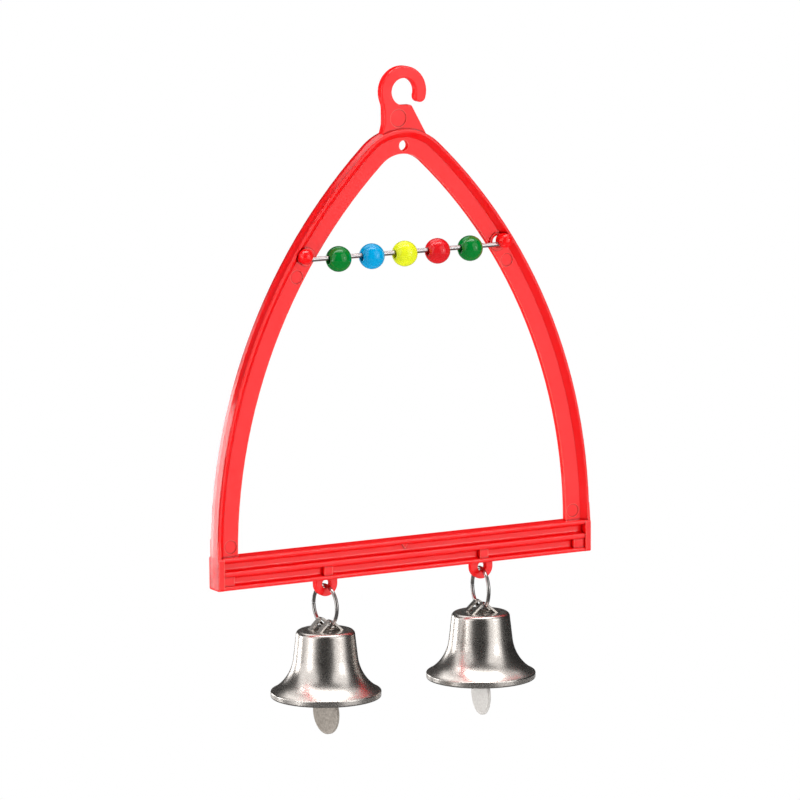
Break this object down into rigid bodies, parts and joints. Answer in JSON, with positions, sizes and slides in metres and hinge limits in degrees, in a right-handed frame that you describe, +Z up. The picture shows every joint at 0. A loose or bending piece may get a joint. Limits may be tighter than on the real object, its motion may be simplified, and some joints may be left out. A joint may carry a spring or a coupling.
{
  "type": "bird swing",
  "caption": "Hanging bird swing: a red arched frame with a hook, a ribbed perch bar, coloured beads on a wire and nickel bells below.",
  "frame": {"origin": "centre of the hook's eye, at mid-depth of the moulding", "axes": "+X along the perch bar to the right, +Y to the back, +Z up"},
  "size_m": [0.11, 0.0288, 0.1728],
  "materials": {
    "red_plastic": "glossy moulded plastic",
    "steel_wire": "drawn bright wire",
    "bell_nickel": "satin-bright nickel plate",
    "clapper_steel": "plated sheet steel",
    "bead_green": "glossy",
    "bead_blue": "glossy",
    "bead_yellow": "glossy",
    "bead_red": "glossy"
  },
  "bodies": {
    "frame": {"swing_frame": "red_plastic", "bead_wire": "steel_wire"},
    "left_green_bead": {"left_green_bead": "bead_green"},
    "blue_bead": {"blue_bead": "bead_blue"},
    "yellow_bead": {"yellow_bead": "bead_yellow"},
    "red_bead": {"red_bead": "bead_red"},
    "right_green_bead": {"right_green_bead": "bead_green"},
    "left_jump_ring": {"left_jump_ring": "steel_wire"},
    "left_bell": {"left_bell": "bell_nickel"},
    "left_clapper": {"left_clapper": "clapper_steel"},
    "right_jump_ring": {"right_jump_ring": "steel_wire"},
    "right_bell": {"right_bell": "bell_nickel"},
    "right_clapper": {"right_clapper": "clapper_steel"}
  },
  "joints": [
    {"name": "left_green_bead_slide", "type": "slide", "parent": "frame", "child": "left_green_bead", "axis": [1, 0, 0], "range_m": [-0.0014, 0.0014]},
    {"name": "blue_bead_slide", "type": "slide", "parent": "frame", "child": "blue_bead", "axis": [1, 0, 0], "range_m": [-0.0014, 0.0014]},
    {"name": "yellow_bead_slide", "type": "slide", "parent": "frame", "child": "yellow_bead", "axis": [1, 0, 0], "range_m": [-0.0014, 0.0014]},
    {"name": "red_bead_slide", "type": "slide", "parent": "frame", "child": "red_bead", "axis": [1, 0, 0], "range_m": [-0.0014, 0.0014]},
    {"name": "right_green_bead_slide", "type": "slide", "parent": "frame", "child": "right_green_bead", "axis": [1, 0, 0], "range_m": [-0.0014, 0.0014]},
    {"name": "left_ring_swing", "type": "hinge", "parent": "frame", "child": "left_jump_ring", "pos_m": [-0.02355, 0, -0.12692], "axis": [-0.1045, 0.9945, 0], "range_deg": [-12, 40]},
    {"name": "left_bell_swing", "type": "hinge", "parent": "left_jump_ring", "child": "left_bell", "pos_m": [-0.02355, 0, -0.13232], "axis": [0.9945, 0.1045, 0], "range_deg": [-40, 40]},
    {"name": "left_clapper_swing", "type": "hinge", "parent": "left_bell", "child": "left_clapper", "pos_m": [-0.02355, 0, -0.14225], "axis": [0.9945, 0.1045, 0], "range_deg": [-26, 26]},
    {"name": "right_ring_swing", "type": "hinge", "parent": "frame", "child": "right_jump_ring", "pos_m": [0.02255, 0, -0.12692], "axis": [-0.1045, -0.9945, 0], "range_deg": [-12, 40]},
    {"name": "right_bell_swing", "type": "hinge", "parent": "right_jump_ring", "child": "right_bell", "pos_m": [0.02255, 0, -0.13232], "axis": [0.9945, -0.1045, 0], "range_deg": [-40, 40]},
    {"name": "right_clapper_swing", "type": "hinge", "parent": "right_bell", "child": "right_clapper", "pos_m": [0.02255, 0, -0.14225], "axis": [0.9945, -0.1045, 0], "range_deg": [-26, 26]}
  ]
}
